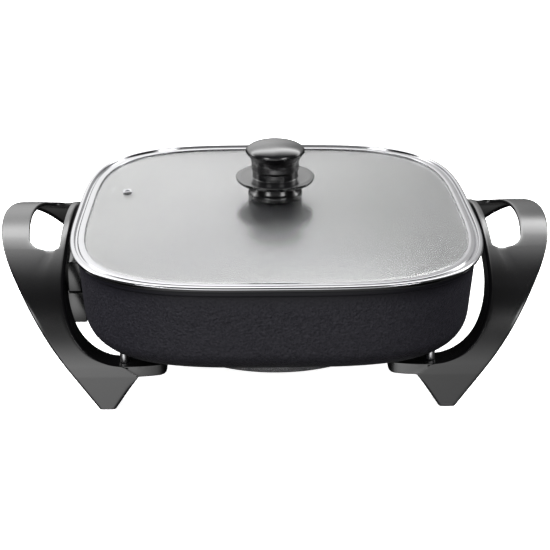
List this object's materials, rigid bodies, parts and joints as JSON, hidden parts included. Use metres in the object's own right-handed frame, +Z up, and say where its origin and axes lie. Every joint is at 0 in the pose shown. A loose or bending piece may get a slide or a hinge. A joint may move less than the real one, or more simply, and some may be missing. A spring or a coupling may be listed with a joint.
{
  "type": "electric skillet",
  "caption": "Square electric skillet with bowed sides, arched end handles that form its legs, and a lift-off domed glass lid with a steel rim and a knob.",
  "frame": {"origin": "on the table plane, at the middle of the four feet, below the lid's knob", "axes": "+Z up, +X along the line from handle to handle, the control inlet at -X, the front at -Y"},
  "size_m": [0.451, 0.33, 0.1867],
  "materials": {
    "dark_cast": "dark non-stick coat, hammered texture outside",
    "grey_cast": "speckled cast grey",
    "black_phenolic": "glossy moulded black",
    "polished_steel": "polished stainless steel",
    "machined_metal": "turned or plated steel",
    "sheathed_metal": "heat-darkened sheath",
    "lid_glass": "clear tempered glass",
    "brass": "bare brass",
    "grey_silicone": "matt silicone",
    "white_ceramic": "unglazed ceramic"
  },
  "bodies": {
    "base": {"pan": "dark_cast", "heater_plate": "grey_cast", "left_handle": "black_phenolic", "right_handle": "black_phenolic", "terminal_guard": "black_phenolic", "handle_washer_left_front": "polished_steel", "handle_washer_left_back": "polished_steel", "handle_washer_right_front": "polished_steel", "handle_washer_right_back": "polished_steel", "post_left_front": "machined_metal", "post_left_back": "machined_metal", "post_right_front": "machined_metal", "post_right_back": "machined_metal", "terminal_pin_1": "machined_metal", "terminal_pin_2": "machined_metal", "probe_well": "machined_metal", "guard_screw_1": "machined_metal", "guard_screw_2": "machined_metal", "heater_screw_1": "machined_metal", "heater_screw_2": "machined_metal", "heater_screw_3": "machined_metal", "heater_screw_4": "machined_metal", "handle_screw_left_front": "machined_metal", "handle_screw_left_back": "machined_metal", "handle_screw_right_front": "machined_metal", "handle_screw_right_back": "machined_metal", "heating_element": "sheathed_metal", "terminal_insulator_1": "white_ceramic", "terminal_insulator_2": "white_ceramic"},
    "lid": {"lid_glass": "lid_glass", "lid_rim": "polished_steel", "vent_eyelet": "polished_steel", "knob_base": "black_phenolic", "knob_guard": "black_phenolic", "knob_grip": "black_phenolic", "knob_insert": "brass", "knob_gasket": "grey_silicone", "knob_washer": "polished_steel", "knob_screw": "machined_metal"}
  },
  "joints": [
    {"name": "lid_lift", "type": "slide", "parent": "base", "child": "lid", "axis": [0, 0, 1], "range_m": [0, 0.15]}
  ]
}
